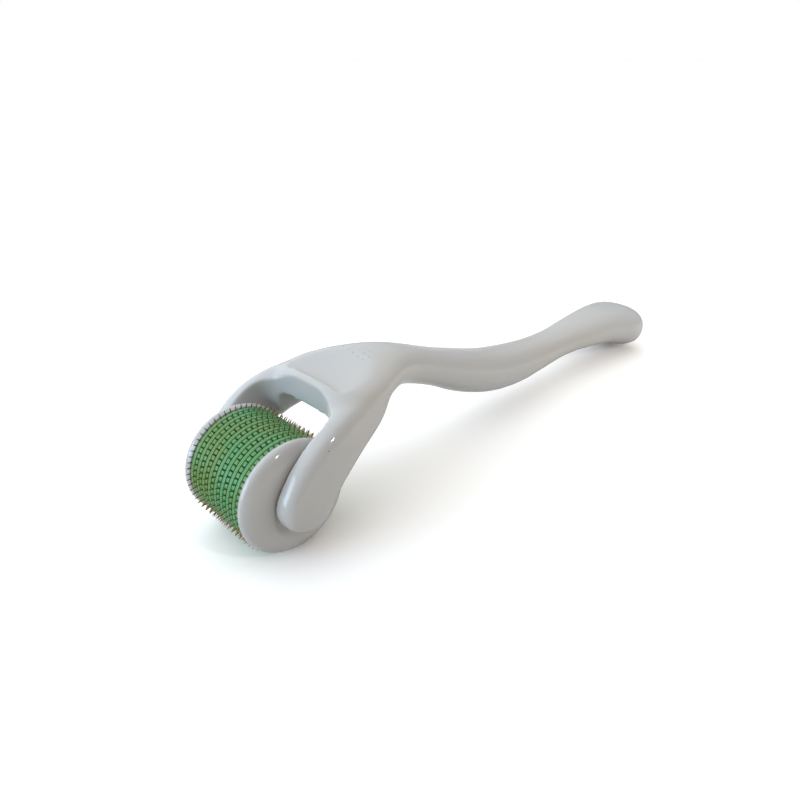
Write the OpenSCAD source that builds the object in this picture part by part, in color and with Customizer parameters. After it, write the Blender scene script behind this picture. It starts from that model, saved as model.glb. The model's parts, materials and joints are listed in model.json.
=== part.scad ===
// Micro-needle skin roller: a one-piece forked handle and a drum of stacked needle discs.
// The drum turns freely about the X axis. The roller lies on Z = 0, on its needle tips and its tail.

/* [Overall] */
// Length from the front of the drum to the end of the tail
total_len = 133; // [131:0.5:139]

/* [Drum] */
// Radius to the needle tips
tip_r = 11; // [10.8:0.1:11.5]
// Radius of the green rings' surface
drum_r = 10.1; // [9.9:0.05:10.3]
// Distance from one needle row to the next
row_pitch = 1.9; // [1.78:0.02:1.96]
// Number of needles in one row
needles = 60; // [48:1:60]
// Width of one needle
needle_w = 0.22; // [0.18:0.01:0.24]
// Thickness of the sheet that a needle disc is stamped from
disc_t = 0.25; // [0.2:0.01:0.3]
// Width of a toothed ring between its two neighbours
ring_w = 0.74; // [0.7:0.02:0.8]
// Width of the gap between two teeth, where a needle comes out
notch_w = 0.3; // [0.28:0.01:0.34]
// Width of the fine groove on each side of a smooth ring
groove_w = 0.22; // [0.1:0.01:0.26]

/* [Caps and axle] */
// Radius of an end cap at its widest
cap_r = 10.45; // [10.3:0.05:10.7]
// Width of an end cap
cap_w = 2.7; // [2.6:0.1:3]
// Width of the hexagonal spindle across its corners
hex_d = 9; // [8:0.5:10]
// Radius of the journals that turn in the handle
journal_r = 1.75; // [1.5:0.05:2]
// Radial clearance of a journal in its bore
journal_gap = 0.05; // [0.03:0.01:0.08]

/* [Handle] */
// Gap between an end cap and the arm beside it
arm_gap = 0.3; // [0.3:0.05:0.5]
// Thickness of an arm beside the axle
arm_t = 4.3; // [4.2:0.1:4.6]
// Radius of an arm's round end
arm_r = 5.3; // [5.2:0.1:5.5]
// Height of the rib across the fork
rib_h = 0.7; // [0.4:0.1:1]
// Radius of one grip pip
pip_r = 0.3; // [0.2:0.05:0.4]

/* [Hidden] */
rows = 9;
// Each disc's turn from its flat, in degrees: the rows are stacked as they come.
row_turn = [-2.6, -4.8, -1, 0, 0, 0, -3.6, -0.7, -2];
hex_gap = 0.04;
web_r = 9.1;
recess_r = 9.3;
disc_r = 8.9;
point_len = 1;
edge = 0.15;
cap_x = ((rows - 1) * row_pitch + disc_t) / 2;
face_x = cap_x + cap_w;
hex_grip = 2.4;
hex_half = cap_x + hex_grip;
arm_x = face_x + arm_gap;
// How far a journal reaches into an arm, the room past its end, and the bore's start inside the gap
journal_grip = 2.2;
bore_spare = 0.2;
bore_lead = 3;
journal_x = arm_x + journal_grip;
bore_x = journal_x + bore_spare;
end_y = 0.3;
end_z = 0.5;
axle_y = tip_r - total_len / 2;
axle_z = tip_r;
white = "#dfe3e8";
green = "#5fae70";
gold = "#b58a4e";
ivory = "#e9e4d6";
slim = 20;
squareness = 0.85;
arm_square = 0.7;
// Half thickness of an arm's end before its inner face is cut flat, and the end's tilt
arm_depth = 3.4;
arm_lean = 54;
// The fork's gap: the drum's room, and an arch that starts fork_y behind the axle
drum_room = 11.6;
fork_y = 4;
fork_arch = 6.9;
fork_h = 40;
rib_half = 7;
rib_r = 0.9;
rib_y = 11.9;
// First pip, the step to the next pip in its row and the step to the next row, as [x, y] from the axle
pip_first = [-5, 23];
pip_next = [1.8, -0.3];
pip_row = [1.95, 1.13];
pip_rows = 3;
pip_longest = 5;
pip_fn = 10;
// Cap profile: how far the rounded shoulder reaches in, where it starts, and the rim behind it
shoulder = 4.2;
shoulder_x = 0.7;
rim_x = 0.4;
rim_in = 0.1;
foot_out = 0.15;
// Fineness of the lofted skins: points in a ring, rings between stations, and the tangent's step
ring_points = 28;
substeps = 3;
nudge = 0.05;
eps = 0.01;

// Grip stations from the crown to the tail, measured from the axle:
// [y, height of the centre, half width, half height]. The tail's y stretches with the length.
grip = [
    [8, 11.5, 10.6, 1.8], [11, 12.1, 11.2, 2.2], [15, 12.7, 11.8, 2.9], [18.5, 12.9, 11.5, 3.1],
    [23, 12.9, 9.9, 3.3], [28, 12.3, 7.5, 3.6], [33.5, 10.6, 6, 3.7], [41.5, 7.2, 5.6, 3.8],
    [49.5, 3.6, 6, 4.5], [59, 0.3, 6.2, 4.7], [69, -1.5, 5.9, 4.4], [79, -2.1, 5.1, 3.7],
    [88.5, -2.1, 5, 3.2], [98.5, -2.3, 6.2, 3.6], [108, -3, 7.5, 4.4], [113.5, -4, 8.6, 5.1],
    [117.5, -4.9, 9, 5.6], [120, -5.4, 8.4, 5.3], [121.4, -5.8, 6.8, 4.4], [122, -5.9, 4, 2.6]];
grip_y = grip[len(grip) - 1][0];
stretch = (total_len - tip_r) / grip_y;

// Arm stations from the crown down past the axle:
// [distance out from the middle, y, height, half thickness, half width]
arm = [
    [5, 26, 12.2, 1.6, 1.2], [8, 19, 11, 3.1, 3.4], [9.6, 14.6, 10, 3.1, 4.2],
    [10.8, 10.4, 8.8, 3.1, 4.6], [11.2, 7, 7.2, 3.3, 5], [11.3, 4.2, 5.1, 3.4, 5.2],
    [11.4, 2, 2.9, 3.4, 5.3]];

// A smooth curve through a list of rows, at place s
function smooth(a, b, c, d, t) =
    0.5 * (2 * b + (c - a) * t + (2 * a - 5 * b + 4 * c - d) * t * t + (3 * b - a - 3 * c + d) * t * t * t);
function along(list, s) =
    let (last = len(list) - 1, i = min(floor(s), last - 1))
    smooth(list[max(i - 1, 0)], list[i], list[i + 1], list[min(i + 2, last)], s - i);

// A closed skin through rings of points that all have the same number of points
module loft(rings) {
    n = len(rings[0]);
    last = len(rings) - 1;
    sides = [for (i = [0 : last - 1], j = [0 : n - 1], half = [0, 1])
        let (a = i * n + j, b = i * n + (j + 1) % n, c = a + n, d = b + n)
        half == 0 ? [a, b, c] : [b, d, c]];
    start = [for (j = [n - 1 : -1 : 0]) j];
    end = [for (j = [0 : n - 1]) last * n + j];
    polyhedron([for (ring = rings) each ring], concat([start], sides, [end]));
}

// A rounded outline about mid, with half axes u and v; a smaller square makes it boxier
function oval(mid, u, v, square) =
    [for (j = [0 : ring_points - 1])
        let (a = 360 * j / ring_points, c = cos(a), s = sin(a))
        mid + u * sign(c) * pow(abs(c), square) + v * sign(s) * pow(abs(s), square)];

module on_axle() {
    translate([0, axle_y, axle_z]) rotate([0, 90, 0]) children();
}

// The rows just before and just after place s, for the path's tangent there
function behind(list, s) = along(list, max(s - nudge, 0));
function ahead(list, s) = along(list, min(s + nudge, len(list) - 1));

module grip_skin() {
    rings = [for (k = [0 : substeps * (len(grip) - 1)])
        let (s = k / substeps, p = along(grip, s), q = ahead(grip, s), r = behind(grip, s),
             t = atan2(q[1] - r[1], q[0] - r[0]))
        oval([0, p[0] * stretch, p[1]], [p[2], 0, 0], [0, -sin(t), cos(t)] * p[3], squareness)];
    loft(rings);
}

// One arm, out towards +X; side is 1 or -1
module arm_skin(side) {
    path = [for (k = [0 : substeps * (len(arm) - 1)])
        let (s = k / substeps, p = along(arm, s), q = ahead(arm, s), r = behind(arm, s),
             t = atan2(r[2] - q[2], r[1] - q[1]))
        oval([side * p[0], p[1], p[2]], [p[3], 0, 0], [0, sin(t), -cos(t)] * p[4], arm_square)];
    // The round end: its width falls as a circle's does, its thickness falls later
    tip = [for (a = [0 : 10 : 80])
        let (w = arm_r * pow(cos(a), 0.9), h = arm_depth * pow(cos(a), 0.45), s = arm_r * sin(a))
        oval([side * (arm_x + arm_t - arm_depth),
              end_y - s * cos(arm_lean), end_z - s * sin(arm_lean)],
             [h, 0, 0], [0, sin(arm_lean), -cos(arm_lean)] * w, arm_square)];
    loft(concat(path, tip));
}

// Height of the crown's top over the axle, x out from the middle and y behind the axle
function crown_top(x, y) =
    let (s = lookup(y, [for (i = [0 : len(grip) - 1]) [grip[i][0], i]]), p = along(grip, s))
    p[1] + p[3] * pow(1 - pow(abs(x) / p[2], 2 / squareness), squareness / 2);

// The raised rib along the crown's front edge
module rib() {
    hull() for (x = [-rib_half, 0, rib_half])
        translate([x, rib_y, crown_top(x, rib_y) + rib_h - rib_r]) sphere(r = rib_r, $fn = slim);
}

// Raised pips for the finger, set as a triangle
module pips() {
    for (i = [0 : pip_rows - 1], j = [0 : pip_longest - 1 - i])
        let (at = pip_first + j * pip_next + i * pip_row)
        translate([at[0], at[1], crown_top(at[0], at[1])]) sphere(r = pip_r, $fn = pip_fn);
}

// The gap between the arms, flat beside the caps and arched at the back
module fork_gap() {
    rotate([0, 90, 0]) cylinder(r = drum_room, h = 2 * arm_x, center = true, $fn = 96);
    linear_extrude(fork_h, center = true) polygon(concat(
        [[-arm_x, -fork_h], [arm_x, -fork_h]],
        [for (a = [0 : 6 : 180]) [arm_x * cos(a), fork_y + fork_arch * sin(a)]]));
}

module handle() {
    color(white)
    translate([0, axle_y, axle_z])
    difference() {
        // The zero resize joins the skins into one before the round cuts are made
        resize([0, 0, 0]) union() {
            grip_skin();
            arm_skin(1);
            arm_skin(-1);
            rib();
            pips();
        }
        fork_gap();
        for (side = [0, 1]) mirror([side, 0, 0])
            translate([arm_x - bore_lead, 0, 0]) rotate([0, 90, 0])
                cylinder(r = journal_r + journal_gap, h = bore_x - arm_x + bore_lead, $fn = 48);
    }
}

module spindle() {
    color(ivory) on_axle() union() {
        cylinder(d = hex_d, h = 2 * hex_half, center = true, $fn = 6);
        cylinder(r = journal_r, h = 2 * journal_x, center = true, $fn = 48);
    }
}

// Cap profile: a flat back on the rings, a wide rounded shoulder and a flat face
module cap() {
    difference() {
        rotate_extrude($fn = 96) polygon(concat(
            [[0, 0], [drum_r + foot_out, 0], [cap_r - rim_in, rim_x]],
            [for (a = [0 : 10 : 90])
                [cap_r - shoulder * (1 - cos(a)), shoulder_x + (cap_w - shoulder_x) * sin(a)]],
            [[0, cap_w]]));
        translate([0, 0, -eps]) cylinder(d = hex_d + 2 * hex_gap, h = hex_grip + hex_gap, $fn = 6);
        cylinder(r = journal_r + journal_gap, h = cap_w + eps, $fn = 48);
    }
}

module left_cap() {
    color(white) on_axle() mirror([0, 0, 1]) translate([0, 0, cap_x]) cap();
}

module right_cap() {
    color(white) on_axle() translate([0, 0, cap_x]) cap();
}

// Where disc k's -X face lies, for k from 0 to 8. The first and last disc touch the caps.
function disc_x(k) = k * row_pitch - cap_x;
function around(r, a) = [r * cos(a), r * sin(a)];
function half_turn(w, r) = asin(w / 2 / r);

module hex_bore() {
    cylinder(d = hex_d + 2 * hex_gap, h = 2 * row_pitch, center = true, $fn = 6);
}

// Disc k, stamped with its row of pointed needles
module needle_disc(k) {
    step = 360 / needles;
    neck = tip_r - point_len;
    color(gold) on_axle() translate([0, 0, disc_x(k)])
    difference() {
        linear_extrude(disc_t)
            polygon([for (i = [0 : needles - 1])
                let (a = i * step + row_turn[k])
                each [around(disc_r, a - half_turn(needle_w, disc_r)),
                      around(neck, a - half_turn(needle_w, neck)),
                      around(tip_r, a),
                      around(neck, a + half_turn(needle_w, neck)),
                      around(disc_r, a + half_turn(needle_w, disc_r))]]);
        hex_bore();
    }
}

// Toothed ring that holds disc k flush in its +X face, with one needle in each notch.
// The piece beside it clamps the disc there.
module toothed_ring(k) {
    step = 360 / needles;
    color(green) on_axle() translate([0, 0, disc_x(k) + disc_t - ring_w])
    difference() {
        linear_extrude(ring_w)
            polygon([for (i = [0 : needles - 1])
                let (a = i * step + row_turn[k])
                each [around(drum_r, a - step + half_turn(notch_w, drum_r)),
                      around(drum_r, a - half_turn(notch_w, drum_r)),
                      around(web_r, a - half_turn(notch_w, web_r)),
                      around(web_r, a + half_turn(notch_w, web_r))]]);
        translate([0, 0, ring_w - disc_t]) cylinder(r = recess_r, h = ring_w, $fn = 96);
        hex_bore();
    }
}

// Smooth ring between disc k - 1 and toothed ring k, with a fine groove along each edge
module smooth_ring(k) {
    half = (row_pitch - ring_w) / 2;
    rim = half - groove_w;
    color(green) on_axle() translate([0, 0, disc_x(k) + disc_t - ring_w - half])
    difference() {
        rotate_extrude($fn = 96) polygon([
            [0, -half], [recess_r, -half], [recess_r, -rim], [drum_r - edge, -rim],
            [drum_r, edge - rim], [drum_r, rim - edge], [drum_r - edge, rim],
            [recess_r, rim], [recess_r, half], [0, half]]);
        hex_bore();
    }
}

handle();
spindle();
left_cap();
right_cap();
for (k = [0 : rows - 1]) {
    needle_disc(k);
    if (k > 0) toothed_ring(k);
    if (k > 0) smooth_ring(k);
}
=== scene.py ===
import json
import math
import bpy
from mathutils import Matrix, Vector

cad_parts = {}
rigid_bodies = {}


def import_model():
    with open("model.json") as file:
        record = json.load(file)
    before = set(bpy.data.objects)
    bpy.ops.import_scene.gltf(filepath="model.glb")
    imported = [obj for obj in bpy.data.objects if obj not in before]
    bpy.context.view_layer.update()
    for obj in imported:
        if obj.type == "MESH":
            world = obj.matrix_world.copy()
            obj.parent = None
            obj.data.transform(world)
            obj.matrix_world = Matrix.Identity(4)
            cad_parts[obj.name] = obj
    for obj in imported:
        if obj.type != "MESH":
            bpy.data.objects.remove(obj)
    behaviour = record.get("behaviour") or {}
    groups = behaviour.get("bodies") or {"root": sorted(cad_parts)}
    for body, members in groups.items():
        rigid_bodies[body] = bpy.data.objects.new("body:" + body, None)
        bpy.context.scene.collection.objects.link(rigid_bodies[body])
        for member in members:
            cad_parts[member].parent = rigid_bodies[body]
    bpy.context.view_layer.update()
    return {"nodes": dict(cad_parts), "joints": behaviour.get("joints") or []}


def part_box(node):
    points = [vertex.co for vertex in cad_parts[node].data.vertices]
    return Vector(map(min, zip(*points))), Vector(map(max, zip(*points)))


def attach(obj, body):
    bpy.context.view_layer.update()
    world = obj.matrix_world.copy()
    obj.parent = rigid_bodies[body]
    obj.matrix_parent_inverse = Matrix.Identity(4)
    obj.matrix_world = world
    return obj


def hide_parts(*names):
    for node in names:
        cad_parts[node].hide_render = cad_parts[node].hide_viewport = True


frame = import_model()
mm = 0.001
axle = Vector(frame["joints"][0]["pos_m"])    # the drum's centre: all sizes below are measured from it
print("frame loaded:", len(frame["nodes"]), "nodes")

fullBevel = 0.98    # rounds a square's corners until they all but meet
weld = 0.0005       # points closer than this are one point
upwards = 0.9       # a face's normal has at least this much z when the face looks up


def linear(hexColour):
    parts = [int(hexColour[i:i + 2], 16) / 255 for i in (1, 3, 5)]
    return [p / 12.92 if p <= 0.04045 else ((p + 0.055) / 1.055) ** 2.4 for p in parts] + [1]


def addNode(tree, kind, settings=None, inputs=None):
    node = tree.nodes.new(kind)
    for name, value in (settings or {}).items():
        setattr(node, name, value)
    for name, value in (inputs or {}).items():
        if isinstance(value, bpy.types.NodeSocket):
            tree.links.new(value, node.inputs[name])
        else:
            node.inputs[name].default_value = value
    return node


def newMaterial(name):
    material = bpy.data.materials.new(name)
    material.use_nodes = True
    tree = material.node_tree
    tree.nodes.clear()
    return material, tree


def deselectAll():
    bpy.ops.object.select_all(action="DESELECT")


def editMode():
    bpy.ops.object.mode_set(mode="EDIT")


def objectMode():
    bpy.ops.object.mode_set(mode="OBJECT")


def namePiece(name):
    piece = bpy.context.object
    piece.name = name
    piece.data.name = name
    return piece


def makeActive(piece):
    deselectAll()
    piece.select_set(True)
    bpy.context.view_layer.objects.active = piece


def applyModifier(piece, kind, **settings):
    makeActive(piece)
    modifier = piece.modifiers.new(kind.title(), kind)
    for name, value in settings.items():
        setattr(modifier, name, value)
    bpy.ops.object.modifier_apply(modifier=modifier.name)


def cutWith(piece, cutter, operation="DIFFERENCE"):
    applyModifier(piece, "BOOLEAN", operation=operation, object=cutter, solver="MANIFOLD")
    bpy.data.objects.remove(cutter)


def remeshAndRelax(piece, voxel, rounds):
    # makes one even skin of all the parts in a piece, and softens where they meet
    applyModifier(piece, "REMESH", mode="VOXEL", voxel_size=voxel)
    applyModifier(piece, "SMOOTH", factor=0.5, iterations=rounds)


def selectWhere(piece, test, element="VERT"):
    # picks vertices by their place, or faces by their centre and normal, then goes back to edit mode
    bpy.ops.mesh.select_mode(type=element)
    bpy.ops.mesh.select_all(action="DESELECT")
    objectMode()
    if element == "VERT":
        for vertex in piece.data.vertices:
            vertex.select = test(vertex.co)
    else:
        for face in piece.data.polygons:
            face.select = test(face.center, face.normal)
    editMode()


def settle(piece):
    # the modelled numbers are millimetres from the axle: this puts them in the row frame, in metres
    piece.data.transform(Matrix.Translation(axle) @ Matrix.Scale(mm, 4))
    piece.data.update()


def smoothEdges(piece, degrees):
    makeActive(piece)
    bpy.ops.object.shade_smooth_by_angle(angle=math.radians(degrees))


def addCylinder(name, radius, start, end, sides):
    # a bar along the axle's direction
    deselectAll()
    bpy.ops.mesh.primitive_cylinder_add(vertices=sides, radius=radius, depth=end - start,
                                        location=((start + end) / 2, 0, 0), rotation=(0, math.pi / 2, 0))
    piece = namePiece(name)
    bpy.ops.object.transform_apply(location=True, rotation=True, scale=True)
    return piece


def addHexBar(width, start, end):
    # six-sided, with corners up and down as on the spindle
    bar = addCylinder("hexBar", width / 2, start, end, 6)
    bar.data.transform(Matrix.Rotation(math.pi / 2, 4, "X"))
    return bar


# The handle. Stations are millimetres from the drum's centre: y back towards the tail, z up.
handleShape = dict(
    grip=[  # y, height, half width, half height
        (8, 11.3, 10.6, 1.8), (10.2, 11.8, 10.9, 2), (11.2, 12.1, 11.2, 2.7), (12.2, 12.4, 11.4, 3),
        (15, 12.7, 11.8, 3), (18.5, 12.9, 11.5, 3.1),
        (23, 12.9, 9.9, 3.3), (28, 12.3, 7.5, 3.6), (33.5, 10.6, 6, 3.7), (41.5, 7.2, 5.6, 3.8),
        (49.5, 3.6, 6, 4.5), (59, 0.3, 6.2, 4.7), (69, -1.5, 5.9, 4.4), (79, -2.1, 5.1, 3.7),
        (88.5, -2.1, 5, 3.2), (98.5, -2.3, 6.2, 3.6), (108, -3, 7.5, 4.4), (113.5, -4, 8.6, 5.1),
        (117.5, -4.9, 9, 5.6), (120, -5.4, 8.4, 5.3), (121.4, -5.8, 6.8, 4.4), (122, -5.9, 4, 2.6)],
    gripSquareness=0.85,
    arm=[  # out from the middle, y, height, half thickness, half width
        (5, 26, 12.2, 1.6, 1.2), (8, 19, 11, 3.1, 3.4), (9.6, 14.6, 10, 3.1, 4.2),
        (10.8, 10.4, 8.8, 3.1, 4.6), (11.2, 7, 7.2, 3.3, 5), (11.3, 4.2, 5.1, 3.4, 5.2),
        (11.4, 2, 2.9, 3.4, 5.3)],
    armSquareness=0.7,
    armEnd=dict(out=15.03, y=0.3, height=0.5, radius=5.3, halfThickness=3.4, lean=54,
                step=10, thinning=0.45, narrowing=0.9),
    substeps=3, cornerSteps=8,
    gap=dict(half=10.76, drumRoom=11.65, sides=192, archStart=4, archDepth=6.65, archSteps=24,
             front=3.8, squareness=0.74, height=40, rounds=30),
    scoop=dict(front=11.9, lowest=8.2, bottom=14.25, halfWidth=80, length=60, depth=60, segments=96),
    lipGroove=dict(radius=0.42, ends=(-7.2, 7.4), place=(0, 12.3, 14.35), sides=32),
    bore=dict(radius=1.8, end=13.13, sides=96),
    pips=dict(rows=3, longest=5, first=(-5, 23), nextRow=(1.95, 1.13), nextDot=(1.8, -0.3),
              radius=0.36, sunk=0.25, segments=16, dropFrom=30),
    coarse=0.55, coarseRounds=10, fine=0.32, fineRounds=3,
    crown=dict(behind=13.4, above=11.5, rounds=45),
    smoothAngle=50,
)


def smoothAlong(rows, place):
    # a smooth curve through the rows, so that the stations can be few
    last = len(rows) - 1
    place = min(max(place, 0), last)
    i = min(int(place), last - 1)
    t = place - i
    four = [rows[max(i - 1, 0)], rows[i], rows[i + 1], rows[min(i + 2, last)]]
    return [0.5 * (2 * b + (c - a) * t + (2 * a - 5 * b + 4 * c - d) * t ** 2
                   + (3 * b - a - 3 * c + d) * t ** 3) for a, b, c, d in zip(*four)]


def placesAlong(rows, substeps):
    # each place on the curve, with the rows just before and just after it for the path's direction
    nudge = 0.05
    for k in range(substeps * (len(rows) - 1) + 1):
        place = k / substeps
        yield [smoothAlong(rows, place + n) for n in (0, -nudge, nudge)]


def addSection(centre, halfWidth, halfHeight, tilt, squareness, cornerSteps):
    # one rounded outline in the mesh being edited, square to a path that climbs by tilt
    bpy.ops.mesh.primitive_plane_add(size=2)
    bpy.ops.mesh.bevel(offset=fullBevel, segments=cornerSteps, profile=2 ** -squareness, affect="VERTICES",
                       clamp_overlap=False)
    bpy.ops.transform.resize(value=(halfWidth, halfHeight, 1), center_override=(0, 0, 0))
    bpy.ops.transform.rotate(value=-(math.pi / 2 + tilt), orient_axis="X", center_override=(0, 0, 0))
    bpy.ops.transform.translate(value=centre)
    bpy.ops.mesh.select_all(action="DESELECT")


def startLoft(name):
    deselectAll()
    bpy.ops.mesh.primitive_plane_add(size=2)
    piece = namePiece(name)
    editMode()
    bpy.ops.mesh.delete(type="VERT")
    return piece


def closeLoft():
    bpy.ops.mesh.select_all(action="SELECT")
    bpy.ops.mesh.delete(type="ONLY_FACE")
    bpy.ops.mesh.select_all(action="SELECT")
    bpy.ops.mesh.bridge_edge_loops()
    bpy.ops.mesh.select_all(action="SELECT")
    bpy.ops.mesh.fill_holes(sides=0)
    bpy.ops.mesh.normals_make_consistent(inside=False)
    objectMode()


def addGrip(shape):
    piece = startLoft("grip")
    for here, before, after in placesAlong(shape["grip"], shape["substeps"]):
        y, height, halfWidth, halfHeight = here
        tilt = math.atan2(after[1] - before[1], after[0] - before[0])
        addSection((0, y, height), halfWidth, halfHeight, tilt, shape["gripSquareness"], shape["cornerSteps"])
    closeLoft()
    return piece


def addArm(shape, side):
    piece = startLoft("arm")
    square, steps, end = shape["armSquareness"], shape["cornerSteps"], shape["armEnd"]
    for here, before, after in placesAlong(shape["arm"], shape["substeps"]):
        out, y, height, halfThickness, halfWidth = here
        tilt = math.atan2(before[2] - after[2], before[1] - after[1])
        addSection((side * out, y, height), halfThickness, halfWidth, tilt, square, steps)
    lean = math.radians(end["lean"])
    for turn in range(0, 90, end["step"]):    # the round end past the axle
        c, s = math.cos(math.radians(turn)), math.sin(math.radians(turn))
        reach = end["radius"] * s
        centre = (side * (end["out"] - end["halfThickness"]),
                  end["y"] - reach * math.cos(lean), end["height"] - reach * math.sin(lean))
        addSection(centre, end["halfThickness"] * c ** end["thinning"], end["radius"] * c ** end["narrowing"],
                   lean, square, steps)
    closeLoft()
    return piece


def addForkGap(gap):
    # an upright block with an arched back, for the room between the arms
    deselectAll()
    bpy.ops.mesh.primitive_plane_add(size=2)
    piece = namePiece("forkGap")
    editMode()
    bpy.ops.mesh.bevel(offset=fullBevel, segments=gap["archSteps"], profile=2 ** -gap["squareness"],
                       affect="VERTICES", clamp_overlap=False)
    bpy.ops.transform.resize(value=(gap["half"], gap["archDepth"], 1), center_override=(0, 0, 0))
    bpy.ops.transform.translate(value=(0, gap["archStart"], -gap["height"] / 2))
    selectWhere(piece, lambda co: co.y < gap["front"])    # the front half becomes one straight edge, far out
    bpy.ops.transform.translate(value=(0, -gap["height"], 0))
    bpy.ops.transform.resize(value=(1, 0, 1), center_override=(0, -gap["height"], 0))
    bpy.ops.mesh.select_all(action="SELECT")
    bpy.ops.mesh.extrude_region_move(TRANSFORM_OT_translate={"value": (0, 0, gap["height"])})
    bpy.ops.mesh.select_all(action="SELECT")
    bpy.ops.mesh.normals_make_consistent(inside=False)
    objectMode()
    return piece


def addScoop(scoop):
    # part of a very wide egg: its flat front leaves the lip standing, its belly hollows the crown
    deselectAll()
    bpy.ops.mesh.primitive_uv_sphere_add(segments=scoop["segments"], ring_count=scoop["segments"], radius=1)
    piece = namePiece("scoop")
    editMode()
    bpy.ops.transform.resize(value=(scoop["halfWidth"], scoop["length"], scoop["depth"]),
                             center_override=(0, 0, 0))
    bpy.ops.transform.translate(value=(0, scoop["lowest"], scoop["bottom"] + scoop["depth"]))
    bpy.ops.mesh.bisect(plane_co=(0, scoop["front"], 0), plane_no=(0, 1, 0), use_fill=True, clear_inner=True)
    objectMode()
    return piece


def addPips(handle, pips):
    # a triangle of small raised dots, each resting on the crown
    dots = []
    for i in range(pips["rows"]):
        for j in range(pips["longest"] - i):
            x, y = [a + i * b + j * c for a, b, c in zip(pips["first"], pips["nextRow"], pips["nextDot"])]
            place, normal = handle.ray_cast(Vector((x, y, pips["dropFrom"])), Vector((0, 0, -1)))[1:3]
            deselectAll()
            bpy.ops.mesh.primitive_uv_sphere_add(
                segments=pips["segments"], ring_count=pips["segments"] // 2,
                radius=pips["radius"], location=place - normal * pips["sunk"])
            dots.append(namePiece("dot"))
    for dot in dots:
        dot.select_set(True)
    bpy.ops.object.join()
    bpy.ops.object.transform_apply(location=True, rotation=True, scale=True)
    cutWith(handle, bpy.context.object, "UNION")


def buildHandle(shape):
    handle = addGrip(shape)
    arms = [addArm(shape, 1), addArm(shape, -1)]
    makeActive(handle)
    for arm in arms:
        arm.select_set(True)
    bpy.ops.object.join()
    remeshAndRelax(handle, shape["coarse"], shape["coarseRounds"])
    applyModifier(handle, "SUBSURF", levels=1, render_levels=1)
    print("handle body:", len(handle.data.polygons), "faces")
    gap, lip, crown, bore = shape["gap"], shape["lipGroove"], shape["crown"], shape["bore"]
    cutWith(handle, addScoop(shape["scoop"]))
    groove = addCylinder("lipGroove", lip["radius"], *lip["ends"], lip["sides"])
    groove.data.transform(Matrix.Translation(lip["place"]))
    cutWith(handle, groove)
    room = addForkGap(gap)
    cutWith(room, addCylinder("drumRoom", gap["drumRoom"], -gap["half"], gap["half"], gap["sides"]), "UNION")
    remeshAndRelax(room, shape["coarse"], gap["rounds"])
    cutWith(handle, room)
    remeshAndRelax(handle, shape["fine"], shape["fineRounds"])
    # the scoop's back and sides run out softly, and only its front stays crisp
    soft = handle.vertex_groups.new(name="crown")
    onCrown = [v.index for v in handle.data.vertices if v.co.y > crown["behind"] and v.co.z > crown["above"]]
    soft.add(onCrown, 1, "REPLACE")
    applyModifier(handle, "SMOOTH", factor=0.5, iterations=crown["rounds"], vertex_group=soft.name)
    handle.vertex_groups.clear()
    cutWith(handle, addCylinder("bore", bore["radius"], -bore["end"], bore["end"], bore["sides"]))
    addPips(handle, shape["pips"])
    settle(handle)
    smoothEdges(handle, shape["smoothAngle"])
    handle.name = handle.data.name = "handle_shell"
    print("handle done:", len(handle.data.polygons), "faces")
    return handle


def startProfile(name, x, y):
    # a single point at (x, y), ready to be drawn on
    deselectAll()
    bpy.ops.mesh.primitive_circle_add(vertices=3, radius=1)
    piece = namePiece(name)
    editMode()
    bpy.ops.mesh.select_mode(type="VERT")
    bpy.ops.mesh.merge(type="CENTER")
    bpy.ops.transform.translate(value=(x, y, 0))
    return piece


def drawOn(steps):
    # carries the open end of the profile on, one straight step at a time
    for step in steps:
        bpy.ops.mesh.extrude_vertices_move(TRANSFORM_OT_translate={"value": (*step, 0)})


def spinProfile(steps):
    # turns the drawn profile round the axle's direction and closes it
    bpy.ops.mesh.select_all(action="SELECT")
    bpy.ops.mesh.spin(steps=steps, angle=2 * math.pi, center=(0, 0, 0), axis=(1, 0, 0))
    bpy.ops.mesh.select_all(action="SELECT")
    bpy.ops.mesh.remove_doubles(threshold=weld)
    bpy.ops.mesh.normals_make_consistent(inside=False)
    objectMode()


# One cap, out from the rings: a short rim, a wide rounded shoulder, a flat face.
capShape = dict(
    start=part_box("right_cap")[0][0] / mm, width=2.7, radius=10.45, shoulder=4.2, shoulderPoints=96, rim=0.7,
    rimBack=((-0.3, -0.1), (-0.4, -0.2)), steps=128,
    hexWidth=9.08, hexDepth=2.44, bore=1.8, boreSides=64, smoothAngle=40,
)


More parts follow.
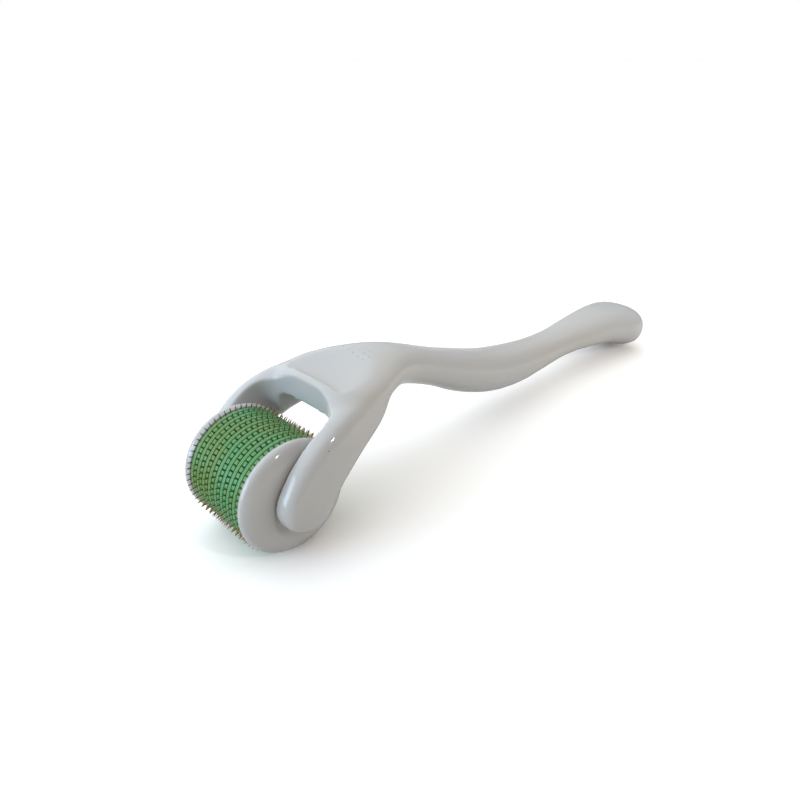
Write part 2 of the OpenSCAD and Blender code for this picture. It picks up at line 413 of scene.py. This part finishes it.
def buildCap(name, shape, side):
    deselectAll()
    bpy.ops.mesh.primitive_circle_add(vertices=shape["shoulderPoints"], radius=1)
    piece = namePiece(name)
    editMode()
    shoulderWidth = shape["width"] - shape["rim"]
    shoulderFoot = shape["radius"] - shape["shoulder"]
    bpy.ops.transform.resize(value=(shoulderWidth, shape["shoulder"], 1), center_override=(0, 0, 0))
    bpy.ops.transform.translate(value=(shape["rim"], shoulderFoot, 0))
    small = 0.001
    selectWhere(piece, lambda co: co.x < shape["rim"] - small or co.y < shoulderFoot - small)
    bpy.ops.mesh.delete(type="VERT")
    pastAxis = (0, -2 * shape["radius"])    # what goes past the axis is drawn back onto it
    selectWhere(piece, lambda co: co.y > shape["radius"] - small)    # down the rim and in to the axis
    drawOn((*shape["rimBack"], pastAxis))
    selectWhere(piece, lambda co: co.x > shape["width"] - small)     # and from the flat face in to the axis
    drawOn((pastAxis,))
    selectWhere(piece, lambda co: co.y < 0)
    bpy.ops.transform.resize(value=(1, 0, 1), center_override=(0, 0, 0))
    spinProfile(shape["steps"])
    width = shape["width"]
    cutWith(piece, addHexBar(shape["hexWidth"], -width, shape["hexDepth"]))
    cutWith(piece, addCylinder("bore", shape["bore"], -width, 2 * width, shape["boreSides"]))
    piece.data.transform(Matrix.Translation((shape["start"], 0, 0)))
    if side < 0:
        piece.data.transform(Matrix.Scale(-1, 4, (1, 0, 0)))
        piece.data.flip_normals()
    settle(piece)
    smoothEdges(piece, shape["smoothAngle"])
    return piece


# What the drum's rings and discs share. Disc 1 is on the -X side, and each is turned a little from the next.
drumShape = dict(
    rows=9, needles=60, surface=10.1, hexWidth=9.08, hexReach=2,
    pitch=(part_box("needle_disc_2")[0][0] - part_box("needle_disc_1")[0][0]) / mm,
    turns=(-2.6, -4.8, -1, 0, 0, 0, -3.6, -0.7, -2),
    toothedWidth=0.74, discThickness=0.25, steps=120, smoothAngle=35,
)


def addAround(name, piece, count):
    # repeats a small shape round the axle
    makeActive(piece)
    editMode()
    bpy.ops.mesh.select_all(action="SELECT")
    bpy.ops.mesh.spin(steps=count, dupli=True, angle=2 * math.pi, center=(0, 0, 0), axis=(1, 0, 0))
    bpy.ops.mesh.select_all(action="SELECT")
    bpy.ops.mesh.remove_doubles(threshold=weld)    # the last copy lies on the first
    objectMode()
    piece.name = name
    return piece


smoothRingShape = dict(hub=9.3, groove=0.17, rounding=0.12, roundingStep=30)


def buildSmoothRing(drum, shape):
    # a round-edged bead on a wider hub: the hub's shoulders are the floors of the fine grooves
    half = (drum["pitch"] - drum["toothedWidth"]) / 2
    bead, hub, r = half - shape["groove"], shape["hub"], shape["rounding"]
    turns = [math.radians(a) for a in range(0, 91, shape["roundingStep"])]
    rise = [(r * (math.cos(a) - math.cos(b)), r * (math.sin(b) - math.sin(a)))
            for a, b in zip(turns, turns[1:])]
    fall = [(up, -along) for along, up in rise]
    flank = drum["surface"] - r - hub
    piece = startProfile("smoothRing", -half, 0)
    drawOn([(0, hub), (shape["groove"], 0), (0, flank)] + rise)
    drawOn([(2 * (bead - r), 0)] + fall)
    drawOn([(0, -flank), (shape["groove"], 0), (0, -hub)])
    spinProfile(drum["steps"])
    return piece


toothedRingShape = dict(toothFoot=9.1, sunk=0.3, notch=0.22, bevel=0.09, bevelSteps=2, recess=9.3)


def buildToothedRing(drum, shape):
    # a hub with a row of blunt teeth, bevelled as a mould leaves them, and a recess for the needle disc
    width, surface, needles = drum["toothedWidth"], drum["surface"], drum["needles"]
    arc = 2 * math.pi * surface / needles - shape["notch"]
    foot = shape["toothFoot"] - shape["sunk"]    # the tooth starts inside the hub, so that they join
    deselectAll()
    bpy.ops.mesh.primitive_cube_add(size=1)
    tooth = namePiece("tooth")
    editMode()
    bpy.ops.transform.resize(value=(width, arc, surface - foot), center_override=(0, 0, 0))
    bpy.ops.transform.translate(value=(0, 0, (surface + foot) / 2))
    selectWhere(tooth, lambda co: co.z < shape["toothFoot"])
    bpy.ops.transform.resize(value=(1, foot / surface, 1), center_override=(0, 0, foot))
    selectWhere(tooth, lambda centre, normal: normal.z > upwards, "FACE")
    bpy.ops.mesh.bevel(offset=shape["bevel"], segments=shape["bevelSteps"], affect="EDGES")
    objectMode()
    tooth.data.transform(Matrix.Rotation(math.pi / needles, 4, "X"))    # a notch, not a tooth, stands at zero
    addAround("teeth", tooth, needles)
    ring = startProfile("toothedRing", -width / 2, 0)
    drawOn(((0, shape["toothFoot"]), (width, 0), (0, -shape["toothFoot"])))
    spinProfile(drum["steps"])
    cutWith(ring, tooth, "UNION")
    floor = width / 2 - drum["discThickness"]
    cutWith(ring, addCylinder("recess", shape["recess"], floor, floor + width, drum["steps"]))
    return ring


needleDiscShape = dict(radius=8.9, needleFoot=8.4, needleWidth=0.15, shankEnd=10.45, tip=11, tipScale=0.12)


def buildNeedleDisc(drum, shape):
    # a thin disc with a four-sided needle in each notch
    deselectAll()
    thickness = drum["discThickness"]
    shank = shape["shankEnd"] - shape["needleFoot"]
    bpy.ops.mesh.primitive_cylinder_add(vertices=4, radius=shape["needleWidth"] / math.sqrt(2), depth=shank,
                                        rotation=(0, 0, math.pi / 4))
    needle = namePiece("needle")
    bpy.ops.object.transform_apply(location=False, rotation=True, scale=True)
    editMode()
    bpy.ops.mesh.select_all(action="SELECT")
    bpy.ops.transform.translate(value=(0, 0, shape["needleFoot"] + shank / 2))
    selectWhere(needle, lambda centre, normal: normal.z > upwards, "FACE")
    point = shape["tip"] - shape["shankEnd"]
    bpy.ops.mesh.extrude_region_move(TRANSFORM_OT_translate={"value": (0, 0, point)})
    bpy.ops.transform.resize(value=(shape["tipScale"], shape["tipScale"], 1))
    objectMode()
    addAround("needles", needle, drum["needles"])
    disc = startProfile("needleDisc", -thickness / 2, 0)
    drawOn(((0, shape["radius"]), (thickness, 0), (0, -shape["radius"])))
    spinProfile(drum["steps"])
    cutWith(disc, needle, "UNION")
    return disc


def placeCopy(master, name, x, turn, drum):
    # the needles turn a little from disc to disc, and the spindle's hole doesn't
    copy = bpy.data.objects.new(name, master.data.copy())
    bpy.context.scene.collection.objects.link(copy)
    copy.data.transform(Matrix.Rotation(math.radians(turn), 4, "X"))
    cutWith(copy, addHexBar(drum["hexWidth"], -drum["hexReach"], drum["hexReach"]))
    copy.data.transform(Matrix.Translation((x, 0, 0)))
    settle(copy)
    smoothEdges(copy, drum["smoothAngle"])
    return copy


def buildDrum(drum):
    # from the left: a disc on the cap, a smooth ring, a toothed ring with the next disc in its recess, and on
    smooth = buildSmoothRing(drum, smoothRingShape)
    toothed = buildToothedRing(drum, toothedRingShape)
    disc = buildNeedleDisc(drum, needleDiscShape)
    made = []
    for k in range(drum["rows"]):
        start = k * drum["pitch"] - capShape["start"]    # this disc's left side, and its right side
        end = start + drum["discThickness"]
        turn = drum["turns"][k]
        stamped = placeCopy(disc, f"needle_disc_{k + 1}_stamped", (start + end) / 2, turn, drum)
        made.append((stamped, f"needle_disc_{k + 1}"))
        if k > 0:
            toothedX = end - drum["toothedWidth"] / 2
            smoothX = end - (drum["toothedWidth"] + drum["pitch"]) / 2
            toothedCopy = placeCopy(toothed, f"toothed_ring_{k}_moulded", toothedX, turn, drum)
            smoothCopy = placeCopy(smooth, f"smooth_ring_{k}_moulded", smoothX, 0, drum)
            made += [(toothedCopy, f"toothed_ring_{k}"), (smoothCopy, f"smooth_ring_{k}")]
    for master in (smooth, toothed, disc):
        bpy.data.objects.remove(master)
    return made


# Moulded ABS, polished mould: white, glossy, with faint cream and cool drifts, and light goes a little way
# in. The mould's finish leaves a very soft orange peel, and a few dark specks of the resin show.
whiteAbs = dict(
    cool="#c4c6ca", warm="#cac3b7", drift=30, speck="#5a5650", speckSpacing=8, speckRadius=0.14,
    peel=1.2, peelDepth=0.004, roughness=(0.09, 0.15), roughnessPatch=5, ior=1.54,
    glow=0.35, glowColour=(1.0, 0.9, 0.8), glowDepth=2.5,
)


def makeWhiteAbs(look):
    material, tree = newMaterial("glossy white ABS")
    place = addNode(tree, "ShaderNodeTexCoord").outputs["Object"]
    drift = addNode(tree, "ShaderNodeTexNoise", None, {
        "Vector": place, "Scale": 1 / (look["drift"] * mm), "Detail": 1.0})
    tint = addNode(tree, "ShaderNodeMix", {"data_type": "RGBA"}, {
        0: drift.outputs["Fac"], 6: linear(look["cool"]), 7: linear(look["warm"])})
    specks = addNode(tree, "ShaderNodeTexVoronoi", None, {
        "Vector": place, "Scale": 1 / (look["speckSpacing"] * mm)})
    isSpeck = addNode(tree, "ShaderNodeMath", {"operation": "LESS_THAN"}, {
        0: specks.outputs["Distance"], 1: look["speckRadius"] / look["speckSpacing"]})
    skin = addNode(tree, "ShaderNodeMix", {"data_type": "RGBA"}, {
        0: isSpeck.outputs[0], 6: tint.outputs[2], 7: linear(look["speck"])})
    patches = addNode(tree, "ShaderNodeTexNoise", None, {
        "Vector": place, "Scale": 1 / (look["roughnessPatch"] * mm)})
    rough = addNode(tree, "ShaderNodeMapRange", None, {
        "Value": patches.outputs["Fac"], "To Min": look["roughness"][0], "To Max": look["roughness"][1]})
    peel = addNode(tree, "ShaderNodeTexNoise", None, {
        "Vector": place, "Scale": 1 / (look["peel"] * mm), "Detail": 1.0})
    bump = addNode(tree, "ShaderNodeBump", None, {
        "Height": peel.outputs["Fac"], "Distance": look["peelDepth"] * mm})
    shader = addNode(tree, "ShaderNodeBsdfPrincipled", None, {
        "Base Color": skin.outputs[2], "Roughness": rough.outputs[0], "Normal": bump.outputs[0],
        "IOR": look["ior"], "Subsurface Weight": look["glow"], "Subsurface Radius": look["glowColour"],
        "Subsurface Scale": look["glowDepth"] * mm})
    addNode(tree, "ShaderNodeOutputMaterial", None, {"Surface": shader.outputs[0]})
    return material


# Moulded PP, dyed green: satin, slightly see-through at its edges, a little yellower where the dye is thin.
greenPp = dict(
    colour="#549a60", thin="#688c40", drift=9, roughness=(0.24, 0.4), roughnessPatch=0.8,
    peel=0.3, peelDepth=0.006, ior=1.49, glow=0.15, glowColour=(0.3, 1.0, 0.4), glowDepth=0.6,
)


def makeGreenPp(look):
    material, tree = newMaterial("dyed green PP")
    place = addNode(tree, "ShaderNodeTexCoord").outputs["Object"]
    drift = addNode(tree, "ShaderNodeTexNoise", None, {
        "Vector": place, "Scale": 1 / (look["drift"] * mm), "Detail": 2.0})
    contrast = addNode(tree, "ShaderNodeMapRange", None, {
        "Value": drift.outputs["Fac"], "From Min": 0.35, "From Max": 0.65})
    tint = addNode(tree, "ShaderNodeMix", {"data_type": "RGBA"}, {
        0: contrast.outputs[0], 6: linear(look["colour"]), 7: linear(look["thin"])})
    patches = addNode(tree, "ShaderNodeTexNoise", None, {
        "Vector": place, "Scale": 1 / (look["roughnessPatch"] * mm)})
    rough = addNode(tree, "ShaderNodeMapRange", None, {
        "Value": patches.outputs["Fac"], "To Min": look["roughness"][0], "To Max": look["roughness"][1]})
    peel = addNode(tree, "ShaderNodeTexNoise", None, {"Vector": place, "Scale": 1 / (look["peel"] * mm)})
    bump = addNode(tree, "ShaderNodeBump", None, {
        "Height": peel.outputs["Fac"], "Distance": look["peelDepth"] * mm})
    shader = addNode(tree, "ShaderNodeBsdfPrincipled", None, {
        "Base Color": tint.outputs[2], "Roughness": rough.outputs[0], "Normal": bump.outputs[0],
        "IOR": look["ior"], "Subsurface Weight": look["glow"], "Subsurface Radius": look["glowColour"],
        "Subsurface Scale": look["glowDepth"] * mm})
    addNode(tree, "ShaderNodeOutputMaterial", None, {"Surface": shader.outputs[0]})
    return material


# Stainless strip, gold titanium nitride coat, stamped: bright on its edges, brown where the coat is burnt.
goldSteel = dict(
    bright="#b4905c", dull="#523f2c", grain=0.35, roughness=(0.26, 0.44),
    scratch=0.12, scratchDepth=0.004,
)


def makeGoldSteel(look):
    material, tree = newMaterial("gold coated steel")
    place = addNode(tree, "ShaderNodeTexCoord").outputs["Object"]
    grain = addNode(tree, "ShaderNodeTexNoise", None, {
        "Vector": place, "Scale": 1 / (look["grain"] * mm), "Detail": 2.0})
    tint = addNode(tree, "ShaderNodeMix", {"data_type": "RGBA"}, {
        0: grain.outputs["Fac"], 6: linear(look["bright"]), 7: linear(look["dull"])})
    rough = addNode(tree, "ShaderNodeMapRange", None, {
        "Value": grain.outputs["Fac"], "To Min": look["roughness"][0], "To Max": look["roughness"][1]})
    scratch = addNode(tree, "ShaderNodeTexNoise", None, {
        "Vector": place, "Scale": 1 / (look["scratch"] * mm)})
    bump = addNode(tree, "ShaderNodeBump", None, {
        "Height": scratch.outputs["Fac"], "Distance": look["scratchDepth"] * mm})
    shader = addNode(tree, "ShaderNodeBsdfPrincipled", None, {
        "Base Color": tint.outputs[2], "Roughness": rough.outputs[0], "Normal": bump.outputs[0],
        "Metallic": 1.0})
    addNode(tree, "ShaderNodeOutputMaterial", None, {"Surface": shader.outputs[0]})
    return material


# Turned natural acetal: ivory, waxy, with the lathe's fine rings across it.
ivoryPom = dict(
    colour="#e8e2d2", roughness=(0.3, 0.46), ringSpacing=0.5, ringDepth=0.01,
    ior=1.48, glow=0.1, glowDepth=1,
)


def makeIvoryPom(look):
    material, tree = newMaterial("natural acetal")
    place = addNode(tree, "ShaderNodeTexCoord").outputs["Object"]
    ringScale = math.pi / 10 / (look["ringSpacing"] * mm)    # at scale 1 a wave comes every pi / 10
    rings = addNode(tree, "ShaderNodeTexWave", {"bands_direction": "X"}, {
        "Vector": place, "Scale": ringScale, "Distortion": 0.5})
    rough = addNode(tree, "ShaderNodeMapRange", None, {
        "Value": rings.outputs["Fac"], "To Min": look["roughness"][0], "To Max": look["roughness"][1]})
    bump = addNode(tree, "ShaderNodeBump", None, {
        "Height": rings.outputs["Fac"], "Distance": look["ringDepth"] * mm})
    shader = addNode(tree, "ShaderNodeBsdfPrincipled", None, {
        "Base Color": linear(look["colour"]), "Roughness": rough.outputs[0], "Normal": bump.outputs[0],
        "IOR": look["ior"], "Subsurface Weight": look["glow"], "Subsurface Scale": look["glowDepth"] * mm})
    addNode(tree, "ShaderNodeOutputMaterial", None, {"Surface": shader.outputs[0]})
    return material


def dress(piece, material):
    piece.data.materials.clear()
    piece.data.materials.append(material)


# The studio: white paper, a wide soft sky, a small ceiling lamp, a window, and a card that only lifts the
# shadow side. The camera's place is in millimetres from the axle, and the lamps' sizes are in metres.
stage = dict(
    azimuth=46.53, elevation=28.32, roll=-1.0, lens=29.7, sensor=36,
    cameraFromAxle=(86.42, -48.70, 66.43), clipStart=5,
    floorSize=6, floorBounce=(0.68, 0.655, 0.63, 1), floorSeen=(1.3, 1.25, 1.2, 1),
    lightFrom=(-0.72, -0.25, 0.65), skyLow=0.06, skyHigh=1.38,
    skyCool=(0.93, 1.0, 1.06, 1), skyWarm=(1.08, 1.0, 0.9, 1),
    lamps=(
        dict(name="ceiling lamp", towards=(0.78, 0.10, 0.60), away=0.5, wide=0.02, high=0.02,
             radiance=220, colour=(1, 1, 1), mirrored=True),
        dict(name="window", towards=(-0.33, -0.90, 0.26), away=0.6, wide=0.32, high=0.3,
             radiance=4, colour=(0.68, 0.98, 1.35), mirrored=True),
        dict(name="card", towards=(0.62, 0.76, 0.14), away=0.25, wide=0.3, high=0.06,
             radiance=3.2, colour=(1.02, 1, 0.98), mirrored=False),
    ),
)


def addCamera(look):
    a, e = math.radians(look["azimuth"]), math.radians(look["elevation"])
    r = math.radians(look["roll"])
    back = Vector((math.sin(a) * math.cos(e), -math.cos(a) * math.cos(e), math.sin(e)))
    right = Vector((math.cos(a), math.sin(a), 0))
    up = back.cross(right)
    turned = (math.cos(r) * right + math.sin(r) * up, math.cos(r) * up - math.sin(r) * right, back)
    camera = bpy.data.objects.new("camera", bpy.data.cameras.new("camera"))
    bpy.context.scene.collection.objects.link(camera)
    camera.data.lens = look["lens"]
    camera.data.sensor_width = look["sensor"]
    camera.data.clip_start = look["clipStart"] * mm
    place = axle + Vector(look["cameraFromAxle"]) * mm
    camera.matrix_world = Matrix.Translation(place) @ Matrix(turned).transposed().to_4x4()
    bpy.context.scene.camera = camera


def addSky(look):
    # a wide soft light from above and behind the drum's left; the camera itself sees plain white
    world = bpy.data.worlds.new("studio")
    bpy.context.scene.world = world
    world.use_nodes = True
    tree = world.node_tree
    tree.nodes.clear()
    direction = addNode(tree, "ShaderNodeTexCoord").outputs["Generated"]
    towards = Vector(look["lightFrom"]).normalized()
    facing = addNode(tree, "ShaderNodeVectorMath", {"operation": "DOT_PRODUCT"}, {0: direction, 1: towards})
    strength = addNode(tree, "ShaderNodeMapRange", {"interpolation_type": "SMOOTHSTEP"}, {
        "Value": facing.outputs["Value"], "From Min": -0.2, "From Max": 0.95,
        "To Min": look["skyLow"], "To Max": look["skyHigh"]})
    side = addNode(tree, "ShaderNodeMapRange", None, {
        "Value": facing.outputs["Value"], "From Min": -0.6, "From Max": 0.8})
    tint = addNode(tree, "ShaderNodeMix", {"data_type": "RGBA"}, {
        0: side.outputs[0], 6: look["skyWarm"], 7: look["skyCool"]})
    sky = addNode(tree, "ShaderNodeBackground", None, {
        "Color": tint.outputs[2], "Strength": strength.outputs[0]})
    plain = addNode(tree, "ShaderNodeBackground", None, {"Color": (1, 1, 1, 1), "Strength": 1.0})
    ray = addNode(tree, "ShaderNodeLightPath")
    mixed = addNode(tree, "ShaderNodeMixShader", None, {
        0: ray.outputs["Is Camera Ray"], 1: sky.outputs[0], 2: plain.outputs[0]})
    addNode(tree, "ShaderNodeOutputWorld", None, {"Surface": mixed.outputs[0]})


def addLamps(look):
    for lamp in look["lamps"]:
        data = bpy.data.lights.new(lamp["name"], "AREA")
        data.shape = "RECTANGLE"
        data.size, data.size_y = lamp["wide"], lamp["high"]
        data.color = lamp["colour"]
        data.energy = lamp["radiance"] * math.pi * lamp["wide"] * lamp["high"]
        towards = Vector(lamp["towards"]).normalized()
        light = bpy.data.objects.new(lamp["name"], data)
        aim = towards.to_track_quat("Z", "Y").to_matrix().to_4x4()
        light.matrix_world = Matrix.Translation(axle + towards * lamp["away"]) @ aim
        light.visible_camera = False
        light.visible_glossy = lamp["mirrored"]
        bpy.context.scene.collection.objects.link(light)


def addFloor(look):
    deselectAll()
    bpy.ops.mesh.primitive_plane_add(size=look["floorSize"])
    floor = namePiece("floor")
    material, tree = newMaterial("white paper")
    bounce = addNode(tree, "ShaderNodeBsdfDiffuse", None, {"Color": look["floorBounce"]})
    seen = addNode(tree, "ShaderNodeBsdfDiffuse", None, {"Color": look["floorSeen"]})    # bleached
    ray = addNode(tree, "ShaderNodeLightPath")
    both = addNode(tree, "ShaderNodeMixShader", None, {
        0: ray.outputs["Is Camera Ray"], 1: bounce.outputs[0], 2: seen.outputs[0]})
    addNode(tree, "ShaderNodeOutputMaterial", None, {"Surface": both.outputs[0]})
    dress(floor, material)


addCamera(stage)
addSky(stage)
addLamps(stage)
addFloor(stage)
bpy.context.scene.view_settings.view_transform = "Standard"
print("stage set")

white = makeWhiteAbs(whiteAbs)
green = makeGreenPp(greenPp)
gold = makeGoldSteel(goldSteel)
ivory = makeIvoryPom(ivoryPom)
print("materials made")

handle = buildHandle(handleShape)
dress(handle, white)
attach(handle, "handle")
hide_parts("handle")

for side, name in ((-1, "left_cap"), (1, "right_cap")):
    cap = buildCap(name + "_moulded", capShape, side)
    dress(cap, white)
    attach(cap, "roller")
    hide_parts(name)
print("caps done")

for piece, node in buildDrum(drumShape):
    steel = "needle" in node
    dress(piece, gold if steel else green)
    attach(piece, "roller")
    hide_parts(node)
print("drum done")

dress(frame["nodes"]["spindle"], ivory)
